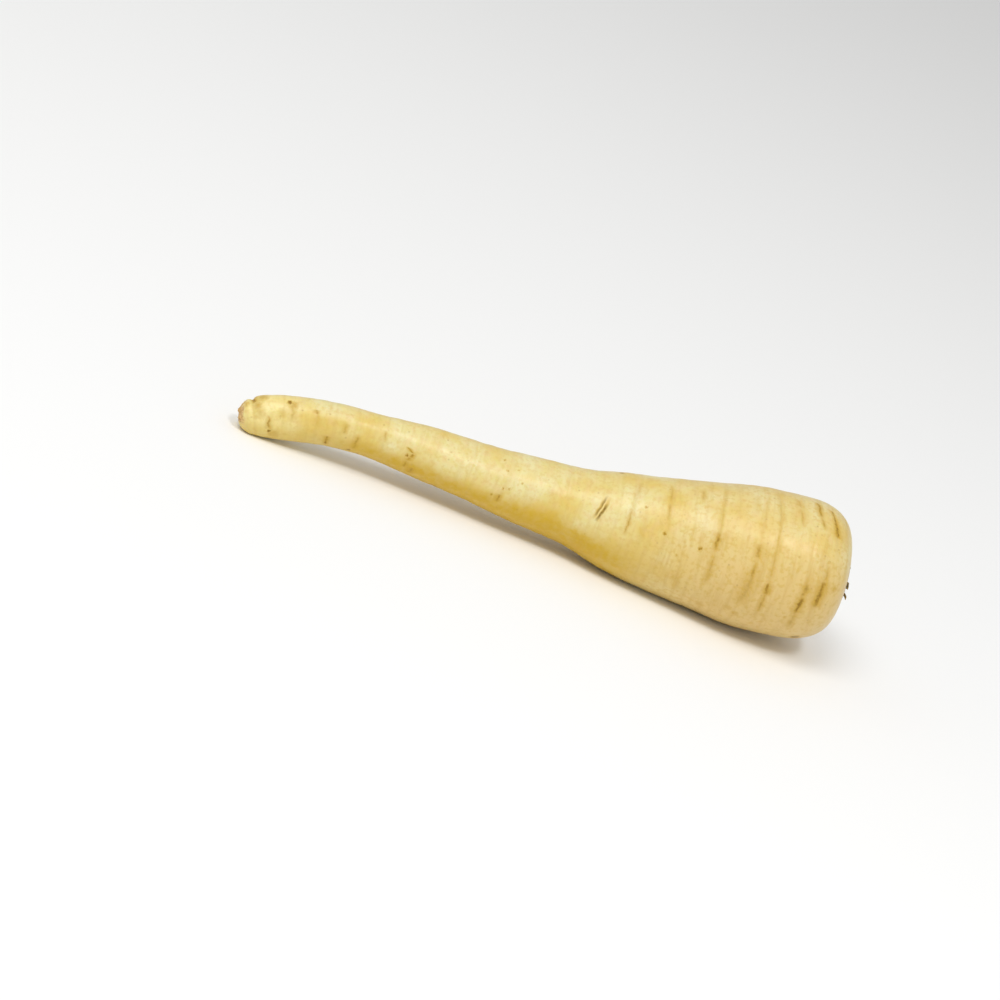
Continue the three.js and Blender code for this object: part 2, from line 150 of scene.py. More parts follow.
# Dashes where a scar has dried brown: (along at its two ends, around at its two ends, width, darkness).
DASHES = [
    (5.3, 5.8, -16, 24, 0.8, 0.9),
    (6.2, 7.6, 12, 78, 1.5, 0.4),
    (10.2, 10.6, 60, 108, 0.8, 0.6),
    (14.6, 15, 38, 70, 0.8, 0.36),
    (18, 18.4, 26, 80, 1.1, 0.38),
    (26.2, 26.8, 34, 48, 0.9, 0.6),
    (27.4, 27.5, 50, 82, 1.4, 0.25),
    (31.5, 31.4, 101, 137, 0.9, 0.95),
    (37.2, 37.2, 56, 88, 0.8, 0.5),
    (42.6, 42.2, 76, 128, 0.8, 0.52),
    (51.1, 52.4, 47, 74, 0.7, 0.4),
    (52.5, 51.8, 76, 108, 0.7, 0.25),
    (61, 63.6, 68, 80, 0.9, 0.8),
    (63.7, 63.4, 79, 91, 0.9, 0.8),
    (63.3, 62.2, 90, 100, 0.9, 0.7),
    (62.1, 62.2, 100, 122, 0.8, 0.6),
    (65.2, 65, 112, 138, 1.3, 0.65),
    (99, 98.9, 91, 109, 0.9, 0.7),
    (149.2, 148.6, 12, 36, 0.6, 0.35),
    (147.6, 147.9, 49, 84, 0.6, 0.56),
    (161.3, 161.8, 8, 38, 0.7, 0.4),
    (161.5, 161.9, 34, 56, 0.7, 0.5),
    (170, 171.7, 102, 117, 1.3, 0.3),
    (173.8, 173.8, 9, 28, 0.8, 0.45),
    (181.8, 181.2, 4, 52, 0.6, 0.35),
    (181, 181.3, 54, 72, 1.1, 0.72),
    (181.4, 180.9, 72, 104, 1, 0.45),
    (197, 196.2, 8, 56, 0.6, 0.3),
    (196.1, 196.2, 57, 70, 1.3, 0.55),
    (196.1, 196.3, 73, 86, 0.9, 0.58),
    (196.4, 194.6, 76, 112, 2.2, 0.45),
    (196, 195.6, 90, 98, 0.8, 0.35),
    (201.1, 203, 7, 46, 0.6, 0.35),
    (202.6, 202.4, 58, 86, 0.6, 0.35),
    (202.7, 202.5, 85, 96, 1.3, 0.86),
    (202.5, 202.1, 94, 113, 0.9, 0.55),
    (208.2, 209.1, 4, 16, 1.1, 0.45),
    (209.3, 210.7, 15, 36, 0.7, 0.4),
    (215.8, 217, -2, 21, 1.1, 0.85),
    (217, 219.4, 19, 32, 0.9, 0.55),
    (216.6, 216, 78, 92, 1.3, 0.6),
    (216.2, 215.2, 89, 107, 1.5, 0.88),
    (215.2, 214.8, 103, 124, 1, 0.45),
    (221.2, 223.2, 3, 19, 1, 0.9),
    (223.2, 224.9, 17, 35, 1.2, 1.0),
    (222.9, 222.7, 60, 77, 0.8, 0.45),
    (222.8, 221.3, 73, 99, 1.8, 0.83),
]

# Pits and spots: (along, around, radius, darkness).
SPOTS = [
    (142.4, 349, 1.4, 0.9), (152.9, 46, 0.9, 0.6), (162, 68, 1, 0.8), (175.9, 73, 1, 0.9),
    (168.5, 85, 0.9, 0.5), (182, 128, 2.4, 0.35), (191.4, 117, 2.2, 0.35), (194.6, 121, 2, 0.35),
    (212.2, 111, 0.9, 0.5), (219.5, 142, 2.7, 1.0), (8.2, 4, 2.6, 0.5), (10.5, 111, 0.9, 1.0),
    (12, 122, 3, 0.4), (17, 23, 1.3, 1.0), (18.4, 30, 2.2, 0.5), (61.7, 88, 0.9, 1.0), (37, 157, 1.8, 0.5),
    (40.8, 136, 1.1, 0.8), (44.3, 146, 1.3, 0.8), (50, 158, 1.8, 0.5), (55.7, 158, 1.4, 0.5),
    (60.6, 158, 1.6, 0.5), (76.1, 149, 1.4, 0.8), (96.4, 97, 0.7, 0.7), (99.6, 81, 0.7, 0.7),
    (101.7, 78, 0.8, 0.6), (97.2, 27, 0.7, 0.6), (99.2, 48, 0.7, 0.6), (103, 40, 0.6, 0.5),
    (105.8, 62, 0.7, 0.5), (1.9, 2, 1.8, 0.6), (2.8, 22, 1.7, 0.45), (7.1, 34, 1.4, 0.4), (227, 80, 2, 0.4),
]

# The far side has more scars, drawn from a seeded rule.
SCAR_SEED = 4711
SCARS_PER_RING = 2
FAR_SIDE = (165, 290)

# The gash on the near side, where a tool caught the root.
GASH = (138.4, 135.4, 41, 79)
GASH_DEPTH = 0.4
GASH_HALF_WIDTH = 1.15

# ---- Fineness of the taproot's skin ----

SKIN_SIDES = 208
BODY_ROWS = 404
SHOULDER_ROWS = 27
RIM_ROWS = 10
TIP_ROWS = 12
ROWS_CLOSER_AT_RINGS = 1.2
CLOSER_REACH = 1.4
FINE_STEPS = 8000

# ---- Crown: dry leaf bases, as (radius, height over the rim) ----

GAP = 0.35
STUMP_SIDES = 180
STUMP_ROW_STEP = 0.16
STUMP = [
    (0, GAP - HOLLOW_DEPTH), (8.4, GAP - HOLLOW_DEPTH), (9, -5.2), (8.8, -3.4), (8.1, -3.2), (7.8, -4.3),
    (7.4, -4.3), (7.2, -1.6), (6.5, -1.4), (6.2, -2.6), (5.8, -2.6), (5.6, -0.2), (4.9, 0), (4.6, -1.2),
    (4.2, -3.6), (0, -3.6),
]
STUMP_RAGGED = 0.45

# They are ragged and frayed only beyond a radius and over a height: (radius, height).
RAGGED_BEYOND = (4.7, -4)
FRAYED_BEYOND = (4.4, -4.2)

# Strands: they are rooted at (radius, height), and rise to between two heights over the rim.
FIBRES = 24
FIBRE_SEED = 97
FIBRE_ROOT = (7.0, -3.6)
FIBRE_WIDTH = 1.1
FIBRE_THICKNESS = 0.75
FIBRE_TOP = (-1.2, 0.9)
FIBRE_END = 0.3
FIBRE_RINGS = 14
FIBRE_SIDES = 8
# This much wider, eight sides are as full as the solid's strands with four.
FIBRE_FULLNESS = 1.2

# The tuft over the rim: (around, height over the rim, drift to the side).
TUFT = [(74, 1.0, 1.5), (89, 1.1, -1), (106, 1.5, 1)]
TUFT_END = 1.35
TUFT_AROUND = 92
TUFT_SPREAD = 30

HAIRS = 170
HAIR_SEED = 12
HAIR_RADIUS = 0.11
HAIR_RINGS = 9
HAIR_SIDES = 3

# Cut green stalks round a bud, on one foot.
STALK_SIDES = 56
STALK_RINGS = 15
STALK_STEPS = 28
STALK_BOTTOM = -2.2
DEGREES_PER_RIB = 12
STALK_FOOT = [(0, -3.25), (3.4, -3.25), (3.7, -2.4), (3.4, -1.4), (0, -1.4)]
STALKS = [
    {"around": 280, "inner": 1.7, "outer": 3.5, "spread": 150, "top": 0.5, "lean": 0.9},
    {"around": 110, "inner": 1.6, "outer": 3.2, "spread": 110, "top": -0.2, "lean": 0.6},
    {"around": 20, "inner": 1.5, "outer": 2.7, "spread": 50, "top": -0.6, "lean": 0.4},
]
BUD = [(0, -2), (1.25, -2), (1.35, -0.8), (1.0, 0.3), (0.45, 0.9), (0, 1.0)]

# Edges in the crown that turn by more than this stay sharp.
CREASE = 50

# ---- Random draws and noise ----

# The state after each draw is the last one times the factor, less all whole limits in it.
DRAW_FACTOR = 16807
DRAW_LIMIT = 2147483647

# Noise runs smoothly between the random values of a cube with this many values along each edge.
LATTICE_SIZE = 64
LATTICE_SEED = 20

# ---- Colour along the skin ----

# Where a change of colour starts and where it is done: the slim half, the painted warm shade underneath it,
# and the part towards the crown, tanned and with painted shade underneath.
SLIM_FROM = (20, 60)
SLIM_TO = (135, 180)
PAINTED_SHADE_GOLD_TO = (150, 190)
TAN_AND_SHADE_FROM = (140, 195)
PALE_TAIL_TO = (12, 27)

# What the skin's material reads from its mesh, in the order of taproot()'s marks.
SKIN_MARKS = (
    "scar_darkness", "scar_distance", "gash", "gash_offset", "gash_way", "painted_shade_gold", "tan_and_painted_shade", "ring",
    "cork", "hollow",
)

# ---- Camera, floor and light ----

CAMERA_AZIMUTH = -8
CAMERA_ELEVATION = 20
CAMERA_ROLL = 25.18
CAMERA_DISTANCE = 1041.2
CAMERA_AIM = (-15, 0, 9.62)
CAMERA_LENS = 100
CAMERA_SENSOR = 36

# The floor, in metres, and the strength of the even light all round.
FLOOR_HALF = 8
LIGHT_ALL_ROUND = 0.56

# (name, way from the object in the camera's right, up and back, distance, size, power) in metres and watts.
LIGHTS = [
    ("large soft light above", (0.0, 0.72, 0.7), 3, 1.6, 31),
    ("small soft light in front", (0.48, 0.45, 0.75), 1.8, 0.35, 8),
]


# ---- Helpers for shapes ----

def smoothly(points, x):
    """A smooth curve through (x, y) points, straight beyond its two ends."""
    xs, ys = np.array(points, float).T
    slopes = np.empty_like(ys)
    slopes[1:-1] = (ys[2:] - ys[:-2]) / (xs[2:] - xs[:-2])
    slopes[0] = (ys[1] - ys[0]) / (xs[1] - xs[0])
    slopes[-1] = (ys[-1] - ys[-2]) / (xs[-1] - xs[-2])
    x = np.asarray(x, float)
    k = np.clip(np.searchsorted(xs, x, side="right") - 1, 0, len(xs) - 2)
    span = xs[k + 1] - xs[k]
    t = (x - xs[k]) / span
    s = 1 - t
    bend = span * (t * s * s * slopes[k] - t * t * s * slopes[k + 1])
    inside = s * s * (1 + 2 * t) * ys[k] + t * t * (3 - 2 * t) * ys[k + 1] + bend
    before = ys[0] + (x - xs[0]) * slopes[0]
    after = ys[-1] + (x - xs[-1]) * slopes[-1]
    return np.where(x < xs[0], before, np.where(x > xs[-1], after, inside))


def seeded(seed):
    """Draws numbers between low and high that are the same on every run."""
    state = seed

    def draw(low, high):
        nonlocal state
        state = state * DRAW_FACTOR % DRAW_LIMIT
        return low + (high - low) * state / DRAW_LIMIT

    return draw


def eased(x, low, high):
    """Goes smoothly from 0 at low to 1 at high."""
    share = np.clip((x - low) / (high - low), 0, 1)
    return share * share * (3 - 2 * share)


def turn(a, b):
    """The signed difference of two angles, from -180 to 180."""
    return (a - b + 180) % 360 - 180


def unit(vectors):
    return vectors / np.linalg.norm(vectors, axis=-1, keepdims=True)


LATTICE = np.random.default_rng(LATTICE_SEED).random((LATTICE_SIZE,) * 3)


def lumps(places, size, layer):
    """Smooth seeded noise from -1 to 1, with lumps about size millimetres across: a number, or x, y, z."""
    spots = places / np.asarray(size, float) + 17.31 * layer
    corner = np.floor(spots).astype(int)
    t = spots - corner
    t = t * t * (3 - 2 * t)
    total = 0
    for step in product((0, 1), repeat=3):
        weight = np.prod(np.where(step, t, 1 - t), axis=-1)
        x, y, z = np.moveaxis((corner + step) % LATTICE_SIZE, -1, 0)
        total = total + weight * LATTICE[x, y, z]
    return 2 * total - 1


def middle(along):
    return np.stack([along, smoothly(SWAY, along), smoothly(RISE, along)], -1)


def root_point(along, around, radius):
    """The point of the bent root at along, around and radius, which may be grids."""
    along, around, radius = np.broadcast_arrays(*(np.asarray(v, float) for v in (along, around, radius)))
    forward = unit(middle(along + 0.5) - middle(along - 0.5))
    side = unit(np.cross(forward, (0, 0, 1)))
    up = np.cross(side, forward)
    angle = np.radians(around)[..., None]
    return middle(along) + radius[..., None] * (up * np.cos(angle) + side * np.sin(angle))


def over_rim(height, around, radius):
    return root_point(ROOT_LENGTH + np.asarray(height, float), around, radius)


# ---- Surface of the taproot ----

def shoulder_radius(along):
    share = np.clip((along - SHOULDER_START) / (ROOT_LENGTH - SHOULDER_START), 0, 1)
    fall = (1 - share ** SHOULDER_FULLNESS) ** (1 / SHOULDER_FULLNESS)
    return SHOULDER_LEVEL_RADIUS + (SHOULDER_RADIUS - SHOULDER_LEVEL_RADIUS) * fall


def body_radius(along):
    return np.where(along > SHOULDER_START, shoulder_radius(along), smoothly(BODY, along))


def tip_rows():
    steps = np.arange(len(TIP))
    alongs, radii = zip(*TIP)
    share = np.linspace(0, len(TIP) - 1, TIP_ROWS + 1)[:-1]
    return smoothly(list(zip(steps, radii)), share), smoothly(list(zip(steps, alongs)), share)


def body_rows():
    """Rows along the body, closer together at the growth rings, where the scars are."""
    fine = np.linspace(BODY[0][0], SHOULDER_ROWS_START, FINE_STEPS)
    crowd = np.ones_like(fine)
    for ring in RINGS:
        crowd += ROWS_CLOSER_AT_RINGS * np.exp(-((fine - ring) / CLOSER_REACH) ** 2)
    share = np.cumsum(crowd)
    share = (share - share[0]) / (share[-1] - share[0])
    along = np.interp(np.linspace(0, 1, BODY_ROWS), share, fine)
    return body_radius(along), along


def shoulder_rows():
    length = ROOT_LENGTH - SHOULDER_START
    depth = SHOULDER_RADIUS - SHOULDER_LEVEL_RADIUS
    start = math.asin(((SHOULDER_ROWS_START - SHOULDER_START) / length) ** (SHOULDER_FULLNESS / 2))
    level = HOLLOW_RADIUS + RIM_ROUNDING - SHOULDER_LEVEL_RADIUS
    end = math.acos((level / depth) ** (SHOULDER_FULLNESS / 2))
    angle = np.linspace(start, end, SHOULDER_ROWS + 1)[1:]
    radius = SHOULDER_LEVEL_RADIUS + depth * np.cos(angle) ** (2 / SHOULDER_FULLNESS)
    return radius, SHOULDER_START + length * np.sin(angle) ** (2 / SHOULDER_FULLNESS)


def hollow_rows():
    """Over the rounded rim, down the wall of the hollow and across its floor."""
    angle = np.radians(np.linspace(0, 90, RIM_ROWS + 1)[1:])
    rim_radius = HOLLOW_RADIUS + RIM_ROUNDING * (1 - np.sin(angle))
    rim_along = ROOT_LENGTH - RIM_ROUNDING * (1 - np.cos(angle))
    radius, height = np.array(HOLLOW_WALL).T
    return np.append(rim_radius, radius), np.append(rim_along, ROOT_LENGTH - HOLLOW_DEPTH + height)


def all_scars():
    """Every scar and dash, as its ends, width, depth and darkness."""
    draw = seeded(SCAR_SEED)
    scars = [(*ends, 1, depth, SCAR_DARKNESS) for *ends, depth in SCARS]
    scars += [(*ends, width, 0, darkness) for *ends, width, darkness in DASHES]
    for ring in RINGS:
        for _ in range(SCARS_PER_RING):
            start = draw(*FAR_SIDE)
            along = ring + draw(-0.5, 0.5)
            other = along + draw(-0.5, 0.5)
            end = start + draw(18, 70)
            depth = draw(0.2, 0.6)
            scars.append((along, other, start, end, 1, depth, SCAR_DARKNESS))
            dash = start + draw(0.1, 0.6) * (end - start)
            scars.append((along, other, dash, dash + draw(8, 24), draw(0.7, 1.3), 0, draw(0.3, 1.0)))
    return scars


def scar_marks(along, around, places):
    """Depth of the scars, and the strongest mark at each place: its darkness and how many widths off."""
    depth = np.zeros_like(along)
    ragged = 0.3 * lumps(places, 1.7, 3) + 0.2 * lumps(places, 0.8, 4)
    marks = []
    for first, second, start, end, width, deepest, darkness in all_scars():
        half = (end - start) / 2
        share = turn(around, start + half) / half
        ends = np.where(np.abs(share) < 1, 1 - share ** 4, 0)
        across = along - (first + (second - first) * (share + 1) / 2) - ragged
        groove = np.exp(-(across / SCAR_HALF_WIDTH) ** 2)
        lips = 0.15 * np.exp(-((np.abs(across) - 1.2) / 0.45) ** 2)
        depth = depth + SCAR_SHARE * deepest * ends * (groove - lips)
        marks.append((darkness * ends, np.abs(across) / width))

    strongest = np.zeros_like(along)
    shown = np.zeros_like(along)
    away = np.full_like(along, SCAR_REACH)
    for darkness, distance in marks:
        strength = darkness * np.clip(1 - distance / SCAR_REACH, 0, 1)
        stronger = strength > strongest
        strongest = np.where(stronger, strength, strongest)
        shown = np.where(stronger, darkness, shown)
        away = np.where(stronger, distance, away)
    return depth, shown, away


def gash_marks(along, around, places):
    """Depth of the gash, its share from 0 to 1, the distance across it and the way down it from -1 to 1."""
    first, second, start, end = GASH
    half = (end - start) / 2
    share = turn(around, start + half) / half
    width = np.where(np.abs(share) < 1, 1 - share ** 2, 0)
    across = along - (first + (second - first) * (share + 1) / 2) - 0.25 * lumps(places, 1.4, 6)
    trough = np.exp(-(across / GASH_HALF_WIDTH) ** 4) * (1 - 0.35 * np.exp(-(across / 0.4) ** 2))
    lips = 0.2 * np.exp(-((np.abs(across) - 1.9) / 0.6) ** 2)
    return GASH_DEPTH * width * (trough - lips), width, across, share.clip(-1, 1)


def ring_share(along, around, places):
    """How deep the nearest growth ring is at each place, from 0 to 1."""
    share = np.zeros_like(along)
    for ring in RINGS:
        across = (along - ring - 0.35 * lumps(places, (40, 6, 6), 8)) / RING_HALF_WIDTH
        strength = 0.6 + 0.4 * np.sin(np.radians(2 * around + 50 * ring))
        share = np.maximum(share, strength * np.exp(-2 * across ** 2))
    return share * np.clip(0.55 + 0.9 * lumps(places, 9, 18), 0, 1)


def form(along, around):
    """The oval section, the broad lumps and the knuckle, as height over the plain outline."""
    angle = np.radians(around)
    oval = 0.012 * np.sin(2 * angle + along / 40) + 0.007 * np.sin(3 * angle + along / 27)
    waves = 0.16 * np.sin(along / 8 + 2 * np.sin(angle)) + 0.2 * np.sin(along / 19 - 2 * angle)
    reach = turn(around, KNUCKLE_AROUND) / KNUCKLE_SPREAD
    inside = (along > KNUCKLE[0][0]) & (along < KNUCKLE[-1][0])
    knuckle = np.where(inside, smoothly(KNUCKLE, along) * np.exp(-reach ** 2), 0)
    return oval * body_radius(along) + waves + knuckle


def wrinkles(places):
    """Fine ridges across the root, and a little unevenness, as height."""
    ridges = 0.07 * lumps(places, (1.5, 22, 22), 1) + 0.09 * lumps(places, (3.4, 26, 26), 2)
    patches = 0.5 + 0.5 * lumps(places, 16, 9)
    uneven = 0.05 * lumps(places, 3, 5) + 0.1 * lumps(places, 9, 7)
    return ridges * (0.35 + 0.65 * patches) + uneven


def wander(along, around, radius):
    """Growth rings aren't quite square to the root: each wanders a little as it goes round."""
    swing = WANDER * np.sin(along / WANDER_LENGTH) * (1 - np.cos(np.radians(around - WANDER_STILL)))
    share = np.clip(1 - along / TIP_LEAN_END, 0, None)
    lean = share * TIP_LEAN * np.cos(np.radians(around - TIP_LEAN_TOWARDS))
    return radius * (swing / SHOULDER_RADIUS - lean)


def taproot():
    """The skin's points in rows, each one's place on a straight root, its marks, and its rows for the map."""
    tip, body, shoulder, hollow = tip_rows(), body_rows(), shoulder_rows(), hollow_rows()
    radius_row, along_row = (np.concatenate(part) for part in zip(tip, body, shoulder, hollow))
    in_hollow = np.arange(len(radius_row)) >= len(radius_row) - len(hollow[0])
    around_column = np.linspace(-180, 180, SKIN_SIDES, endpoint=False)
    along, around = np.meshgrid(along_row, around_column, indexing="ij")
    radius = np.repeat(radius_row[:, None], SKIN_SIDES, axis=1)
    inside = np.repeat(in_hollow[:, None], SKIN_SIDES, axis=1)
    angle = np.radians(around)
    places = np.stack([along, radius * np.cos(angle), radius * np.sin(angle)], -1)

    scar_depth, scar_dark, scar_distance = scar_marks(along, around, places)
    gash_depth, gash, gash_offset, gash_way = gash_marks(along, around, places)
    rings = ring_share(along, around, places)
    height = form(along, around) + wrinkles(places) - RING_DEPTH * rings - scar_depth - gash_depth
    fade = np.clip((ROOT_LENGTH - along) / 3, 0, 1) * np.clip(along / 3, 0, 1)
    fade = np.where(inside, 0, fade)

    # Painted shade: golden underneath the slim half, the warm shade of light bounced from neighbouring roots.
    # Towards the crown the skin is tanned, and more so underneath, where the extra tan is painted shade.
    facing_down = 0.15 * lumps(places, 11, 16) - np.cos(angle)
    slim = eased(along, *SLIM_FROM) * (1 - eased(along, *SLIM_TO))
    painted_shade_gold = eased(facing_down, -0.28, 0.45) * (0.3 + 0.7 * slim) * (1 - eased(along, *PAINTED_SHADE_GOLD_TO))
    tan_and_painted_shade = (0.3 + 0.7 * eased(facing_down, -0.9, 0)) * eased(along, *TAN_AND_SHADE_FROM)

    # The snapped end is rough, corky tissue, mostly on its upper half.
    snapped = np.clip(1 - (along - 0.3) / 2.4, 0, 1) * np.clip(0.35 + 0.9 * np.cos(angle - 0.5), 0, 1)
    snapped = np.clip(snapped + 0.35 * lumps(places, 1.5, 11) * (snapped > 0), 0, 1)
    rough_end = snapped * (0.45 * lumps(places, 1.3, 12) + 0.3 * lumps(places, 0.7, 13))
    rim_wave = np.where(inside & (radius > HOLLOW_RADIUS), 0.12 * lumps(places, 2.5, 14), 0)

    shifted = along + fade * wander(along, around, radius) - 0.8 * rough_end * (radius > 0)
    grown = radius + fade * height + 0.6 * rough_end * np.clip(radius / 3, 0, 1) + rim_wave
    points = root_point(shifted, around, np.where(radius > 0, np.maximum(grown, 0), 0))

    depth_inside = np.where(inside, np.clip((HOLLOW_RADIUS + RIM_ROUNDING - radius) / RIM_ROUNDING, 0, 1), 0)
    lip = np.clip((along - ROOT_LENGTH + 1.2) / 1.2, 0, 1) * np.clip((15 - radius) / 4, 0, 1)
    marks = (
        scar_dark, scar_distance, gash, gash_offset, gash_way, painted_shade_gold, tan_and_painted_shade, rings * fade, snapped,
        np.maximum(depth_inside, 0.35 * lip),
    )

    step = np.hypot(np.diff(radius_row), np.diff(along_row))
    distance = np.append(0, np.cumsum(step))
    return points, places, marks, radius_row, distance


# ---- Laying the root down ----

def lowest_between(points, span):
    inside = points[(points[:, 0] > span[0]) & (points[:, 0] < span[1])]
    return inside[inside[:, 2].argmin()]


def laying_down(points):
    """A function that levels points so that belly and tail lie on z = 0, and puts them where the solid is."""
    flat = points.reshape(-1, 3)
    belly = lowest_between(flat, BELLY)
    tail = lowest_between(flat, TAIL)
    slope = (belly[2] - tail[2]) / (belly[0] - tail[0])
    low, high = (np.array(corner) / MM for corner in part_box("taproot"))
    shift = (low + high) / 2 - (flat.min(0) + flat.max(0)) / 2

    def lay(loose):
        level = tail[2] + slope * (loose[..., 0] - tail[0]) + SINK
        height = np.clip(loose[..., 2] - level, 0, None)
        return np.stack([loose[..., 0] + shift[0], loose[..., 1] + shift[1], height], -1)

    return lay


# ---- Meshes ----

def side_faces(index):
    """The faces between neighbouring rows of point numbers, all the way round."""
    after = np.roll(index, -1, axis=1)
    return np.stack([index[:-1], after[:-1], after[1:], index[1:]], -1).reshape(-1, 4).tolist()


def wrapped(grid):
    """A closed skin through rows of points, whose first and last rows have drawn together into one point."""
    rows, sides = grid.shape[:2]
    vertices = np.vstack([grid[0, :1], grid[1:-1].reshape(-1, 3), grid[-1, :1]])
    last = len(vertices) - 1
    index = 1 + np.arange((rows - 2) * sides).reshape(rows - 2, sides)
    first_fan = [(0, int(b), int(a)) for a, b in zip(index[0], np.roll(index[0], -1))]
    last_fan = [(last, int(a), int(b)) for a, b in zip(index[-1], np.roll(index[-1], -1))]
    return vertices, first_fan + side_faces(index) + last_fan


def lofted(rings):
    """A closed body through rings of points. The end faces span from one half of a ring to the other."""
    count = rings.shape[1]
    last = (len(rings) - 1) * count
    faces = side_faces(np.arange(len(rings) * count).reshape(len(rings), count))
    for n in range(count // 2 - 1):
        facing = count - 1 - n
        faces.append((n, facing, facing - 1, n + 1))
        faces.append((last + n, last + n + 1, last + facing - 1, last + facing))
    return rings.reshape(-1, 3), faces


def joined(bodies):
    vertices = []
    faces = []
    start = 0
    for points, polygons in bodies:
        vertices.append(points)
        faces += [tuple(start + k for k in polygon) for polygon in polygons]
        start += len(points)
    return np.vstack(vertices), faces


def piece(name, body, material, replaced, crease=None):
    """Makes the mesh of a finished piece, and puts it in the place of the solid that it stands for."""
    vertices, faces = body
    mesh = bpy.data.meshes.new(name)
    mesh.from_pydata(vertices * MM, [], faces)
    mesh.polygons.foreach_set("use_smooth", np.ones(len(faces), bool))
    if crease:
        mesh.set_sharp_from_angle(angle=math.radians(crease))
    mesh.materials.append(material)
    mesh.update()
    made = bpy.data.objects.new(name, mesh)
    bpy.context.scene.collection.objects.link(made)
    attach(made, "root")
    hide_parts(replaced)
    return made


def note(mesh, name, values, kind="FLOAT"):
    """Keeps a value of every vertex for the material to read."""
    field = "vector" if kind == "FLOAT_VECTOR" else "value"
    attribute = mesh.attributes.new(name, kind, "POINT")
    attribute.data.foreach_set(field, np.ascontiguousarray(values, np.float32).ravel())


def pole_rows(grid):
    """One value for each vertex of wrapped(), from a grid with one for each point."""
    width = grid.shape[2:]
    return np.concatenate([grid[0, :1], grid[1:-1].reshape(-1, *width), grid[-1, :1]])


def flat_map(mesh, radius_row, distance):
    """Unrolls the skin into a strip: across by the way round from underneath, and up by the way along."""
    total = distance[-1]
    sides = SKIN_SIDES
    corners = np.empty(len(mesh.loops), int)
    mesh.loops.foreach_get("vertex_index", corners)
    row = np.where(corners == 0, 0, (corners - 1) // sides + 1)
    column = np.where(corners == 0, -1, (corners - 1) % sides)
    row = np.minimum(row, len(radius_row) - 1)
    column = np.where(row == len(radius_row) - 1, -1, column)
    start = np.empty(len(mesh.polygons), int)
    count = np.empty(len(mesh.polygons), int)
    mesh.polygons.foreach_get("loop_start", start)
    mesh.polygons.foreach_get("loop_total", count)
    polygon = np.repeat(np.arange(len(start)), count)
    highest = np.maximum.reduceat(column, start)
    lowest = np.minimum.reduceat(np.where(column < 0, sides, column), start)
    crosses = (highest == sides - 1) & (lowest == 0)
    column = np.where(crosses[polygon] & (column == 0), sides, column)
    around = column / sides - 0.5
    around = np.where(column < 0, 0, around)
    spread = around * 2 * math.pi * radius_row[row] / total
    uv = np.stack([0.5 + spread, distance[row] / total], -1)
    layer = mesh.uv_layers.new(name="OFBake")
    layer.data.foreach_set("uv", uv.astype(np.float32).ravel())


# ---- The crown ----

def turned(rows, sides, step, ripple):
    """A finely turned body on the bent root. Ripple gives its points their height, around and radius."""
    radii, heights = np.array(rows, float).T
    distance = np.append(0, np.cumsum(np.hypot(np.diff(radii), np.diff(heights))))
    fine = np.linspace(0, distance[-1], int(distance[-1] / step) + 1)
    radius = np.interp(fine, distance, radii)[:, None]
    height = np.interp(fine, distance, heights)[:, None]
    share = np.interp(fine, distance, np.arange(len(rows)))[:, None]
    around = np.linspace(0, 360, sides, endpoint=False)[None, :]
    return wrapped(over_rim(*ripple(share, height, around, radius)))


def stump_ripple(share, height, around, radius):
    """Ragged crests on the old leaf bases, and the fine upright grooves of their fibres."""
    draw = seeded(FIBRE_SEED)
    phases = [draw(0, 360) for _ in STUMP]
    height, around, radius, share = np.broadcast_arrays(height, around, radius, share)
    waves = []
    for row, phase in enumerate(phases):
        out, level = STUMP[row]
        crest = out > RAGGED_BEYOND[0] and level > RAGGED_BEYOND[1]
        slow = np.sin(np.radians(5 * around[0] + phase))
        quick = np.sin(np.radians(9 * around[0] + 40 * row))
        waves.append(STUMP_RAGGED * (slow + 0.6 * quick) * crest)
    waves = np.array(waves)
    below = np.floor(share[:, 0]).astype(int).clip(0, len(STUMP) - 2)
    part = (share[:, 0] - below)[:, None]
    lift = waves[below] * (1 - part) + waves[below + 1] * part
    angle = np.radians(around)
    places = np.stack([height, radius * np.cos(angle), radius * np.sin(angle)], -1)
    inner = np.clip(radius / 2, 0, 1)
    grooves = 0.16 * lumps(places, (4, 0.45, 0.45), 21) + 0.12 * lumps(places, (0.7, 1.2, 1.2), 22)
    frayed = (radius > FRAYED_BEYOND[0]) * (height > FRAYED_BEYOND[1])
    fray = 0.3 * lumps(places, (9, 0.5, 0.5), 23) * frayed
    return height + lift + inner * fray, around, np.where(radius > 0, radius + inner * grooves, 0)


def smooth_path(knots, count):
    """A smooth line through knots, as count points."""
    steps = np.arange(len(knots))
    share = np.linspace(0, len(knots) - 1, count)
    return np.stack([smoothly(list(zip(steps, column)), share) for column in np.array(knots, float).T], -1)


def fibre(around, top, drift, end):
    """One flat strand, from the hollow up to the height top over the rim, where it is end times as wide."""
    root, foot = FIBRE_ROOT
    lean = 0.2 + 1.2 * max(0, top)
    line = [
        (root, 0),
        (root + 0.7, 0.45),
        (root + 1.1, 0.75),
        (root + 1.3 + 0.4 * lean, 0.92),
        (root + 1.3 + lean, 1),
    ]
    knots = []
    for step, (radius, rise) in enumerate(line):
        size = 1 + (end - 1) * (step / 4) ** 2
        knots.append((radius, foot + rise * (top - foot), size, around + drift * step))
    section = np.radians(np.linspace(0, 360, FIBRE_SIDES, endpoint=False) + 180 / FIBRE_SIDES)
    rings = []
    for radius, height, size, angle in smooth_path(knots, FIBRE_RINGS):
        spread = np.degrees(FIBRE_WIDTH / 2 * size / radius) * FIBRE_FULLNESS
        depth = FIBRE_THICKNESS / 2 * max(size, 0.4) * FIBRE_FULLNESS
        ribs = 1 + 0.14 * np.cos(3 * section + around)
        turned_by = spread * np.cos(section) * ribs
        rings.append(over_rim(height, angle - turned_by, radius + depth * np.sin(section) * ribs))
    return lofted(np.array(rings))


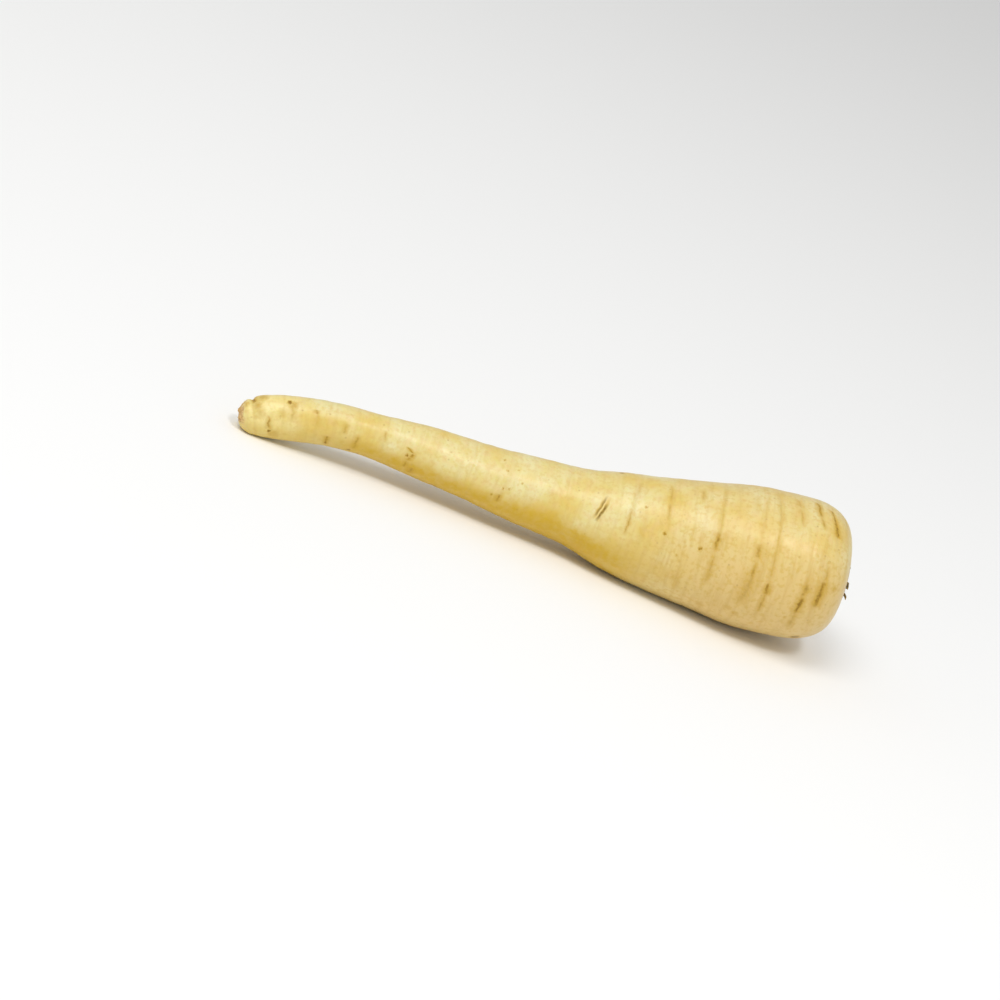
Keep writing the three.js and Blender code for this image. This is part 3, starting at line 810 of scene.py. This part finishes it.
def hair(draw):
    """A thin loose strand of a rotted leaf base, curling over the others."""
    around = draw(0, 360)
    reach = turn(around, TUFT_AROUND) / TUFT_SPREAD
    top = draw(-2.2, 0.2) + 1.2 * math.exp(-reach ** 2)
    radius = draw(5.2, 8.4)
    out = draw(0.2, 1.2) if top > -0.4 else draw(-0.8, 0.5)
    knots = [
        (radius, draw(-4.2, -3.4), 1, around),
        (radius + draw(-0.2, 0.4), -2.6, 1, around + draw(-6, 6)),
        (min(radius + out / 2, 9.2), top - 0.5, 0.8, around + draw(-12, 12)),
        (min(radius + out, 9.4), top, 0.35, around + draw(-16, 16)),
    ]
    section = np.radians(np.linspace(0, 360, HAIR_SIDES, endpoint=False))
    rings = []
    for radius, height, size, angle in smooth_path(knots, HAIR_RINGS):
        thick = HAIR_RADIUS * size
        turned_by = np.degrees(thick / radius) * np.cos(section)
        rings.append(over_rim(height, angle - turned_by, radius + thick * np.sin(section)))
    index = np.arange(HAIR_RINGS * HAIR_SIDES).reshape(HAIR_RINGS, HAIR_SIDES)
    ends = [tuple(index[0][::-1].tolist()), tuple(index[-1].tolist())]
    return np.concatenate(rings), side_faces(index) + ends


def dry_leaf_bases():
    draw = seeded(FIBRE_SEED)
    bodies = [turned(STUMP, STUMP_SIDES, STUMP_ROW_STEP, stump_ripple)]
    for n in range(FIBRES):
        around = 360 * (n + draw(-0.3, 0.3)) / FIBRES
        bodies.append(fibre(around, draw(*FIBRE_TOP), draw(-2.5, 2.5), FIBRE_END))
    bodies += [fibre(*strand, TUFT_END) for strand in TUFT]
    draw = seeded(HAIR_SEED)
    bodies += [hair(draw) for _ in range(HAIRS)]
    return joined(bodies)


def stalk(around, inner, outer, spread, top, lean):
    """A curved wall, like part of a tube, that leans out and ends in a slanting cut."""
    side = np.linspace(-0.5, 0.5, STALK_STEPS + 1)
    rings = []
    for share in np.linspace(0, 1, STALK_RINGS):
        ring = []
        for radius, order in ((outer, 1), (inner, -1)):
            across = order * side
            tall = STALK_BOTTOM + share * (top - STALK_BOTTOM) + share * 0.7 * np.cos(np.pi * across)
            thin = 0.5 * across ** 2 * (1 if radius == inner else -1)
            # The leaf stalk's upright ribs, about 0.7 mm apart on its outer face.
            ribs = 0.07 * np.cos(2 * np.pi * across * spread / DEGREES_PER_RIB) * (radius == outer)
            ring.append(over_rim(tall, around + across * spread, radius + thin + ribs + share * lean))
        rings.append(np.concatenate(ring))
    return lofted(np.array(rings))


def stalk_ripple(share, height, around, radius):
    height, around, radius = np.broadcast_arrays(height, around, radius)
    ribs = 0.035 * np.cos(np.radians(14 * around)) * np.clip(radius, 0, 1)
    return height, around, np.where(radius > 0, radius + ribs, 0)


def green_leaf_stalks():
    foot = turned(STALK_FOOT, STALK_SIDES, 0.3, stalk_ripple)
    bud = turned(BUD, STALK_SIDES, 0.15, stalk_ripple)
    return joined([foot, bud] + [stalk(**sizes) for sizes in STALKS])


# ---- Helpers for materials ----

def linear(colour):
    """The linear values of an sRGB colour that is written as #rrggbb."""
    channels = [int(colour[n:n + 2], 16) / 255 for n in (1, 3, 5)]
    return tuple(c / 12.92 if c <= 0.04045 else ((c + 0.055) / 1.055) ** 2.4 for c in channels) + (1.0,)


def blank_material(name):
    material = bpy.data.materials.new(name)
    material.use_nodes = True
    material.node_tree.nodes.clear()
    return material


def add(material, kind, inputs=(), **settings):
    """Adds a node. An input that is another node, or a node's output, is linked, and any other is set."""
    node = material.node_tree.nodes.new("ShaderNode" + kind)
    for name, value in settings.items():
        setattr(node, name, value)
    for socket, value in dict(inputs).items():
        if isinstance(value, bpy.types.Node):
            value = value.outputs[0]
        if isinstance(value, bpy.types.NodeSocket):
            material.node_tree.links.new(value, node.inputs[socket])
        else:
            node.inputs[socket].default_value = value
    return node


# ---- Materials ----

CREAM = linear("#e6dba2")
GOLDEN = linear("#dfc36a")
PINKISH = linear("#e1bf84")
GREENISH = linear("#dfd07c")
OCHRE = linear("#d1ae50")
BAND = linear("#c69f48")
# Painted warm shade for the underside of the slim half.
PAINTED_SHADE_GOLD = linear("#d1ab22")
# The crown's tan, also laid on its underside as painted shade.
TAN_WITH_PAINTED_SHADE = linear("#dec07b")
SPECKLE = linear("#a87e38")
SCAR_HALO = linear("#c49b28")
SCAR_BROWN = linear("#8a6508")
TIP_PALE = linear("#f8e593")
GASH_FLESH = linear("#d6b04e")
GASH_BROWN = linear("#765a00")
GASH_STRIP = linear("#ecd48c")
CORK_LIGHT = linear("#e2bd80")
CORK_DARK = linear("#b88d4a")
HOLLOW_BROWN = linear("#2c1d12")
ROT_DARK = linear("#2e1e12")
ROT_BROWN = linear("#603f20")
FRAYED_TAN = linear("#a27643")
BLEACHED_TAN = linear("#a38f5f")
BLEACHED_STRAW = linear("#d6c592")
STALK_OLIVE = linear("#8e8c32")
STALK_STRAW = linear("#cdc67e")
PAPER_WHITE = linear("#f8f8f7")

SPOT_WANDER = 0.8

# Strokes along the gash: (distance from its middle line, where it starts, where it is full, strength). Its
# upper end is -1 and its lower end is 1.
GASH_STROKES = [(-0.5, 1.0, 0.4, 0.6), (0.8, -0.45, -0.05, 0.85)]


def washed_skin():
    """Thin living skin, washed: cream to golden and a little waxy. Light goes a millimetre or two deep."""
    m = blank_material("washed parsnip skin")
    grown = add(m, "Attribute", attribute_name="grown").outputs["Vector"]
    # Two of these marks carry painted shade underneath the root: the warm gold under the slim half and the
    # extra tan under the crown.
    darkness, distance, gash, gash_offset, gash_way, painted_shade_gold, tan_and_painted_shade, ring, cork, hollow = (
        add(m, "Attribute", attribute_name=name).outputs["Fac"] for name in SKIN_MARKS
    )
    # What lies over the cream of the skin, from the lowest up: its colour, and then the shares that are
    # multiplied to say how much of it shows.
    layers = []

    # Broad clouds about 14 mm across, where the skin is thinner and more golden.
    clouds = add(m, "TexNoise", {"Vector": grown, "Scale": 1 / 14, "Detail": 2.0})
    cloudy = add(m, "MapRange", {"Value": clouds, "From Min": 0.36, "From Max": 0.66})
    layers.append((GOLDEN, cloudy))

    # Blotches about 3 mm across: pinkish beige in some places, and yellow green in others.
    blotches = add(m, "TexNoise", {"Vector": grown, "Scale": 1 / 3, "Detail": 3.0})
    pink = add(m, "MapRange", {"Value": blotches, "From Min": 0.52, "From Max": 0.7, "To Max": 0.4})
    green = add(m, "MapRange", {"Value": blotches, "From Min": 0.48, "From Max": 0.3, "To Max": 0.5})
    layers += [(PINKISH, pink), (GREENISH, green)]

    # Palest over the last 20 mm of the tail, where the skin is thinnest.
    from_tip = add(m, "SeparateXYZ", {"Vector": grown}).outputs["X"]
    full, none = PALE_TAIL_TO
    thin = add(m, "MapRange", {"Value": from_tip, "From Min": none, "From Max": full, "To Max": 0.42})
    layers.append((TIP_PALE, thin))

    # Painted warm shade, golden underneath the slim half in uneven patches; and the tan towards the crown,
    # with more of it underneath as painted shade.
    patches = {"From Min": 0.3, "From Max": 0.7, "To Min": 1.15, "To Max": 0.75}
    uneven = add(m, "MapRange", {"Value": blotches, **patches})
    patchy_painted_shade = add(m, "Math", {0: painted_shade_gold, 1: uneven}, operation="MULTIPLY", use_clamp=True)
    layers += [(PAINTED_SHADE_GOLD, patchy_painted_shade), (TAN_WITH_PAINTED_SHADE, tan_and_painted_shade)]

    # Bands across the root, 1.8 mm apart and about 16 mm long, left by its growth in length.
    stretched = add(m, "Mapping", {"Vector": grown, "Scale": (1 / 1.8, 1 / 16, 1 / 16)})
    bands = add(m, "TexNoise", {"Vector": stretched, "Scale": 1.0, "Detail": 3.0})
    banded = add(m, "MapRange", {"Value": bands, "From Min": 0.48, "From Max": 0.72, "To Max": 0.36})
    towards_crown = add(m, "MapRange", {"Value": tan_and_painted_shade, "To Min": 0.5, "From Max": 0.6})
    layers.append((BAND, banded, towards_crown))

    # Each growth ring keeps a little soil colour in its groove.
    ringed = add(m, "MapRange", {"Value": ring, "From Min": 0.2, "From Max": 0.9, "To Max": 0.3})
    layers.append((OCHRE, ringed))

    # Speckles: pores that hold a little soil, in a third of the cells. The real ones are finer than the
    # render can show, so these are drawn more than half a millimetre across.
    cells = add(m, "TexVoronoi", {"Vector": grown, "Scale": 1 / 2.4})
    dot = add(m, "MapRange", {"Value": cells.outputs["Distance"], "From Min": 0.22, "From Max": 0.06})
    lot = add(m, "SeparateColor", {0: cells.outputs["Color"]})
    chosen = add(m, "MapRange", {"Value": lot, "From Min": 0.66, "From Max": 1.0, "To Max": 0.5})
    layers.append((SPECKLE, dot, chosen))

    # Mottling about 1.6 mm across, where the skin is rubbed: stronger towards the crown.
    rubbed = add(m, "TexNoise", {"Vector": grown, "Scale": 1 / 1.6, "Detail": 4.0})
    mottled = add(m, "MapRange", {"Value": rubbed, "From Min": 0.49, "From Max": 0.66, "To Max": 0.58})
    layers.append((OCHRE, mottled, towards_crown))

    # Scars: a thin brown line that is broken into dots, in a halo that goes out to twice the mark's width.
    grit = add(m, "TexNoise", {"Vector": grown, "Scale": 1 / 0.9, "Detail": 3.0})
    waver = add(m, "Math", {0: grit, 1: 0.9, 2: -0.45}, operation="MULTIPLY_ADD")
    rough_distance = add(m, "Math", {0: distance, 1: waver}, operation="ADD")
    halo = add(m, "MapRange", {"Value": rough_distance, "From Min": 2.0, "From Max": 0.2, "To Max": 0.9})
    stain = add(m, "MapRange", {"Value": darkness, "From Max": 0.75})
    haloed = add(m, "Math", {0: halo, 1: stain}, operation="MULTIPLY")
    line = add(m, "MapRange", {"Value": rough_distance, "From Min": 0.6, "From Max": 0.1})
    breaks = add(m, "TexNoise", {"Vector": grown, "Scale": 1 / 2.6, "Detail": 3.0, "Roughness": 0.65})
    dots = add(m, "MapRange", {"Value": breaks, "From Min": 0.42, "From Max": 0.56, "To Min": 0.3})
    browned = add(m, "MapRange", {"Value": darkness, "From Min": 0.3, "From Max": 0.95})
    layers += [(SCAR_HALO, haloed), (SCAR_BROWN, line, dots, browned)]

    # Pits and spots, with an edge that wanders by a third of a millimetre.
    nudge = add(m, "TexNoise", {"Vector": grown, "Scale": 1 / 0.9, "Detail": 2.0}).outputs["Color"]
    reach = (2 * SPOT_WANDER,) * 3
    nudged = add(m, "VectorMath", {0: nudge, 1: reach, 2: grown}, operation="MULTIPLY_ADD")
    spotted = 0.0
    for along, around, radius, strength in SPOTS:
        out = body_radius(along)
        angle = math.radians(around)
        centre = [v + SPOT_WANDER for v in (along, out * math.cos(angle), out * math.sin(angle))]
        away = add(m, "VectorMath", {0: nudged, 1: centre}, operation="DISTANCE").outputs["Value"]
        extent = {"From Min": radius, "From Max": 0.3 * radius, "To Max": strength}
        spot = add(m, "MapRange", {"Value": away, **extent})
        spotted = add(m, "Math", {0: spot, 1: spotted}, operation="MAXIMUM")
    stained = add(m, "MapRange", {"Value": spotted, "From Max": 0.6, "To Max": 0.8})
    pitted = add(m, "MapRange", {"Value": spotted, "From Min": 0.45, "From Max": 1.0, "To Max": 0.9})
    layers += [(SCAR_HALO, stained), (SCAR_BROWN, pitted)]

    # The gash: bare flesh that has dried, with a bright strip between two brown strokes, 1.3 mm apart. The
    # stroke nearer to the tip goes down most of the gash, and the other one down its lower half.
    across = add(m, "Math", {0: gash_offset}, operation="ABSOLUTE")
    opened = add(m, "MapRange", {"Value": across, "From Min": 1.7, "From Max": 0.9, "To Max": 0.85})
    layers.append((GASH_FLESH, opened, gash))
    ended = add(m, "MapRange", {"Value": gash, "From Max": 0.7})
    torn = add(m, "MapRange", {"Value": breaks, "From Min": 0.35, "From Max": 0.5, "To Min": 0.5})
    for offset, start, full, strength in GASH_STROKES:
        beside = add(m, "Math", {0: gash_offset, 1: offset}, operation="SUBTRACT")
        aside = add(m, "Math", {0: beside}, operation="ABSOLUTE")
        stroke = add(m, "MapRange", {"Value": aside, "From Min": 0.75, "From Max": 0.2})
        way = {"Value": gash_way, "From Min": start, "From Max": full, "To Max": strength}
        layers.append((GASH_BROWN, stroke, add(m, "MapRange", way), ended, torn))
    strip = add(m, "MapRange", {"Value": across, "From Min": 0.4, "From Max": 0.1, "To Max": 0.9})
    layers.append((GASH_STRIP, strip, gash))

    # The snapped tip has dried to tan cork, in crumbs under a millimetre.
    crumbs = add(m, "TexNoise", {"Vector": grown, "Scale": 1 / 0.8, "Detail": 4.0})
    crumbled = add(m, "MapRange", {"Value": crumbs, "From Min": 0.4, "From Max": 0.62})
    corky = add(m, "Mix", {0: crumbled, 6: CORK_DARK, 7: CORK_LIGHT}, data_type="RGBA").outputs[2]
    bare = add(m, "MapRange", {"Value": cork, "From Min": 0.15, "From Max": 0.6})
    layers += [(corky, bare), (HOLLOW_BROWN, hollow)]

    skin = CREAM
    for colour, amount, *shares in layers:
        for share in shares:
            amount = add(m, "Math", {0: amount, 1: share}, operation="MULTIPLY")
        skin = add(m, "Mix", {0: amount, 6: skin, 7: colour}, data_type="RGBA").outputs[2]

    # Gloss varies between washed skin and dry scar tissue.
    worn = add(m, "Math", {0: haloed, 1: cork}, operation="MAXIMUM")
    gloss = {"From Min": 0.3, "From Max": 0.7, "To Min": 0.3, "To Max": 0.41}
    shine = add(m, "MapRange", {"Value": blotches, **gloss})
    rough = add(m, "MapRange", {"Value": worn, "To Max": 0.35})
    roughness = add(m, "Math", {0: shine, 1: rough}, operation="ADD")

    # Skin grain about half a millimetre across, over the bands.
    grain = add(m, "TexNoise", {"Vector": grown, "Scale": 1 / 0.55, "Detail": 3.0})
    grained = add(m, "Bump", {"Strength": 0.5, "Distance": 0.05 * MM, "Height": grain})
    ridges = {"Strength": 0.5, "Distance": 0.16 * MM, "Height": bands}
    ridged = add(m, "Bump", {**ridges, "Normal": grained})

    # Plant flesh is mostly water, so its IOR is near 1.4.
    shader = add(m, "BsdfPrincipled", {
        "Base Color": skin,
        "Roughness": roughness,
        "IOR": 1.4,
        "Coat Weight": 0.16,
        "Coat Roughness": 0.3,
        "Subsurface Weight": 0.16,
        "Subsurface Radius": (1.0, 0.6, 0.25),
        "Subsurface Scale": 1.6 * MM,
        "Normal": ridged,
    })
    add(m, "OutputMaterial", {"Surface": shader})
    return m


def rotted_fibre():
    """Dead leaf bases: dry brown strands, matt, paler where they have frayed."""
    m = blank_material("dry leaf base fibre")
    place = add(m, "TexCoord").outputs["Object"]
    # Strands run along the root, so the pattern is drawn out that way, 0.4 mm across and 4 mm long.
    strand_size = (1 / (4 * MM), 1 / (0.4 * MM), 1 / (0.4 * MM))
    drawn_out = add(m, "Mapping", {"Vector": place, "Scale": strand_size})
    strands = add(m, "TexNoise", {"Vector": drawn_out, "Scale": 1.0, "Detail": 4.0})
    frayed = add(m, "MapRange", {"Value": strands, "From Min": 0.4, "From Max": 0.66})
    clumps = add(m, "TexNoise", {"Vector": place, "Scale": 1 / (2.2 * MM), "Detail": 2.0})
    clumped = add(m, "MapRange", {"Value": clumps, "From Min": 0.4, "From Max": 0.6})
    dark = add(m, "Mix", {0: clumped, 6: ROT_DARK, 7: ROT_BROWN}, data_type="RGBA").outputs[2]
    brown = add(m, "Mix", {0: frayed, 6: dark, 7: FRAYED_TAN}, data_type="RGBA").outputs[2]
    # Strands that reach out over the rim are bleached.
    height = add(m, "Attribute", attribute_name="height_over_rim").outputs["Fac"]
    reached = add(m, "MapRange", {"Value": height, "From Min": -0.6, "From Max": 0.9, "To Max": 0.9})
    pale = add(m, "Mix", {0: frayed, 6: BLEACHED_TAN, 7: BLEACHED_STRAW}, data_type="RGBA").outputs[2]
    colour = add(m, "Mix", {0: reached, 6: brown, 7: pale}, data_type="RGBA").outputs[2]
    bump = add(m, "Bump", {"Strength": 0.8, "Distance": 0.15 * MM, "Height": strands})
    rough = add(m, "MapRange", {"Value": clumps, "To Min": 0.82, "To Max": 0.96})
    # Dry strands are so thin that light comes through them.
    shader = add(m, "BsdfPrincipled", {
        "Base Color": colour,
        "Roughness": rough,
        "Subsurface Weight": 0.5,
        "Subsurface Radius": (1.0, 0.75, 0.45),
        "Subsurface Scale": 1.2 * MM,
        "Normal": bump,
    })
    add(m, "OutputMaterial", {"Surface": shader})
    return m


def cut_stalk():
    """Living leaf stalk: pale yellow green, moist, with lighter veins that run along it."""
    m = blank_material("cut green leaf stalk")
    place = add(m, "TexCoord").outputs["Object"]
    # Veins about 0.5 mm apart, drawn out along the root.
    vein_size = (1 / (5 * MM), 1 / (0.5 * MM), 1 / (0.5 * MM))
    drawn_out = add(m, "Mapping", {"Vector": place, "Scale": vein_size})
    veins = add(m, "TexNoise", {"Vector": drawn_out, "Scale": 1.0, "Detail": 3.0})
    veined = add(m, "MapRange", {"Value": veins, "From Min": 0.38, "From Max": 0.64})
    colour = add(m, "Mix", {0: veined, 6: STALK_OLIVE, 7: STALK_STRAW}, data_type="RGBA").outputs[2]
    bump = add(m, "Bump", {"Strength": 0.4, "Distance": 0.08 * MM, "Height": veins})
    # Juice stands between the veins, so they are drier than what lies between them.
    drier = {"From Min": 0.3, "From Max": 0.7, "To Min": 0.38, "To Max": 0.54}
    rough = add(m, "MapRange", {"Value": veins, **drier})
    shader = add(m, "BsdfPrincipled", {
        "Base Color": colour,
        "Roughness": rough,
        "IOR": 1.4,
        "Subsurface Weight": 0.2,
        "Subsurface Radius": (0.9, 1.0, 0.3),
        "Subsurface Scale": 1.2 * MM,
        "Normal": bump,
    })
    add(m, "OutputMaterial", {"Surface": shader})
    return m


def pale_paper():
    """A sheet of matt white paper: nothing on it but the shadow."""
    m = blank_material("matt white paper")
    shader = add(m, "BsdfPrincipled", {"Base Color": PAPER_WHITE, "Roughness": 0.95})
    add(m, "OutputMaterial", {"Surface": shader})
    return m


# ---- The three pieces ----

points, grown, marks, radius_row, distance = taproot()
lay = laying_down(points)
root = piece("parsnip_taproot", wrapped(lay(points)), washed_skin(), "taproot")
note(root.data, "grown", pole_rows(grown), "FLOAT_VECTOR")
for name, values in zip(SKIN_MARKS, marks):
    note(root.data, name, pole_rows(values))
flat_map(root.data, radius_row, distance)

vertices, faces = dry_leaf_bases()
strands = (lay(vertices), faces)
bases = piece("parsnip_dry_leaf_bases", strands, rotted_fibre(), "dry_leaf_bases", CREASE)
crown = middle(np.array([ROOT_LENGTH - 0.5, ROOT_LENGTH, ROOT_LENGTH + 0.5]))
note(bases.data, "height_over_rim", (vertices - crown[1]) @ unit(crown[2] - crown[0]))

vertices, faces = green_leaf_stalks()
stalks = (lay(vertices), faces)
piece("parsnip_green_leaf_stalks", stalks, cut_stalk(), "green_leaf_stalks", CREASE)

# ---- Camera ----

azimuth, elevation, roll = (math.radians(v) for v in (CAMERA_AZIMUTH, CAMERA_ELEVATION, CAMERA_ROLL))
level_right = Vector((math.cos(azimuth), math.sin(azimuth), 0))
backward = Vector((
    math.sin(azimuth) * math.cos(elevation),
    -math.cos(azimuth) * math.cos(elevation),
    math.sin(elevation),
))
level_up = backward.cross(level_right)
right = level_right * math.cos(roll) + level_up * math.sin(roll)
upward = level_up * math.cos(roll) - level_right * math.sin(roll)
aim = Vector(CAMERA_AIM) * MM

lens = bpy.data.cameras.new("camera")
lens.lens = CAMERA_LENS
lens.sensor_width = CAMERA_SENSOR
camera = bpy.data.objects.new("camera", lens)
camera.matrix_world = Matrix.Translation(aim + backward * CAMERA_DISTANCE * MM) @ Matrix(
    (right, upward, backward)
).transposed().to_4x4()
bpy.context.scene.collection.objects.link(camera)
bpy.context.scene.camera = camera

# ---- Floor and light ----

floor_mesh = bpy.data.meshes.new("floor")
corners = [(x * FLOOR_HALF, y * FLOOR_HALF, 0) for x, y in ((-1, -1), (1, -1), (1, 1), (-1, 1))]
floor_mesh.from_pydata(corners, [], [(0, 1, 2, 3)])
floor_mesh.materials.append(pale_paper())
floor = bpy.data.objects.new("floor", floor_mesh)
bpy.context.scene.collection.objects.link(floor)

# Bright even light all round, as in a light tent.
room = bpy.data.worlds.new("light tent")
room.use_nodes = True
room.node_tree.nodes["Background"].inputs["Color"].default_value = (1.0, 1.0, 1.0, 1.0)
room.node_tree.nodes["Background"].inputs["Strength"].default_value = LIGHT_ALL_ROUND
bpy.context.scene.world = room

for name, (across, above, behind), away, size, power in LIGHTS:
    lamp = bpy.data.lights.new(name, "AREA")
    lamp.shape = "DISK"
    lamp.size = size
    lamp.energy = power
    made = bpy.data.objects.new(name, lamp)
    way = (right * across + upward * above + backward * behind).normalized()
    made.location = aim + way * away
    made.rotation_euler = way.to_track_quat("Z", "Y").to_euler()
    bpy.context.scene.collection.objects.link(made)

# Colours are shown as they are, without the film curve that would bleach the skin's yellow.
bpy.context.scene.view_settings.view_transform = "Standard"
